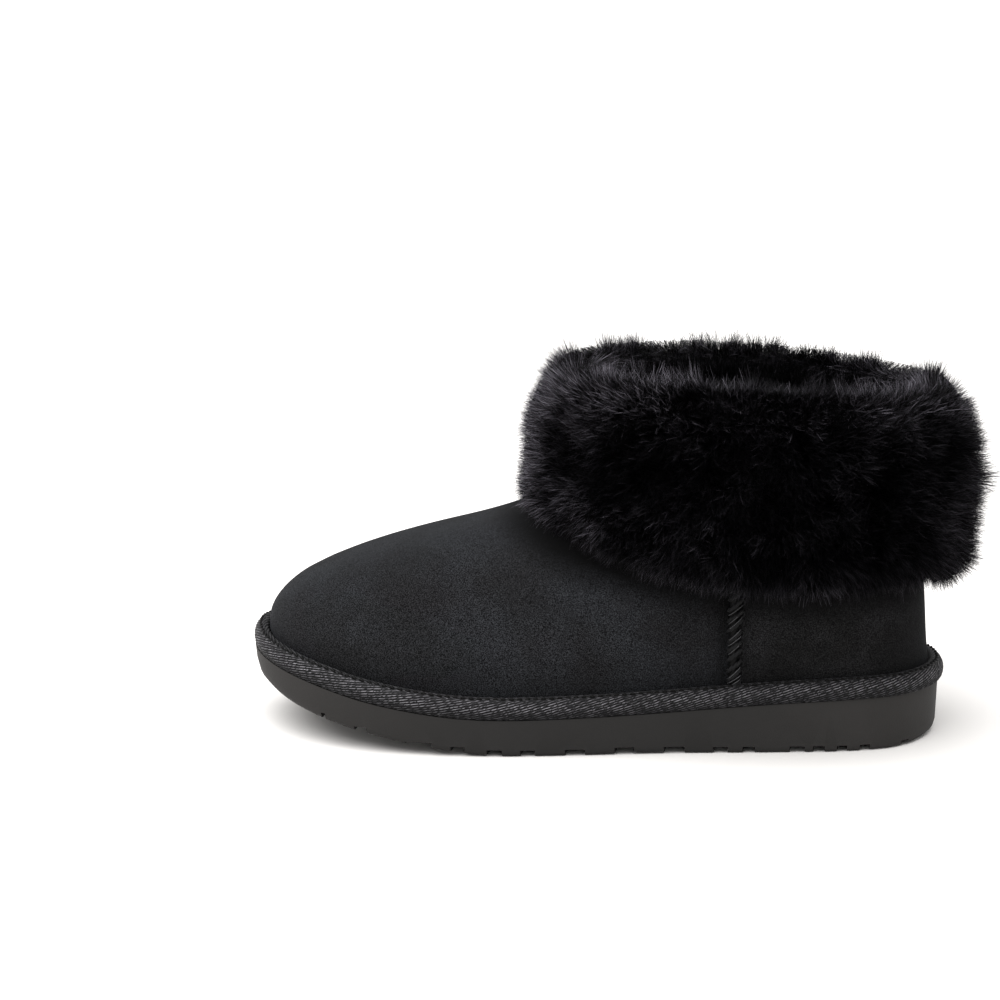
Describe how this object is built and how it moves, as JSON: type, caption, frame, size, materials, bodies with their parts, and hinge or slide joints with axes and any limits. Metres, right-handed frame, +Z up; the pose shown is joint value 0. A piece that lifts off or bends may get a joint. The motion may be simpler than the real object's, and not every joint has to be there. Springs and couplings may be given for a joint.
{
  "type": "sheepskin ankle boot",
  "caption": "Short pull-on sheepskin boot for the left foot, with a deep turned-down fur cuff, a thick flat foam sole and a woven tape round the sole seam.",
  "frame": {"origin": "on the floor, under the middle of the boot's own length and width over the fur", "axes": "+Z up, -X towards the toe, -Y towards the outer side of the foot"},
  "size_m": [0.2858, 0.1302, 0.149],
  "materials": {
    "sole_foam": "smooth matte moulded foam, warm dark grey",
    "woven_tape": "herringbone woven tape with a slight sheen, dark grey",
    "suede": "brushed suede with a fine nap, charcoal black",
    "fleece": "dense curly fleece, black",
    "fur": "long soft fur in pointed locks, black",
    "seam_thread": "waxed sewing thread whipped over the seam, dark grey"
  },
  "bodies": {
    "root": {"outsole": "sole_foam", "sole_tape": "woven_tape", "upper": "suede", "insole": "fleece", "fur_cuff": "fur", "outer_side_seam": "seam_thread", "inner_side_seam": "seam_thread"}
  },
  "joints": []
}
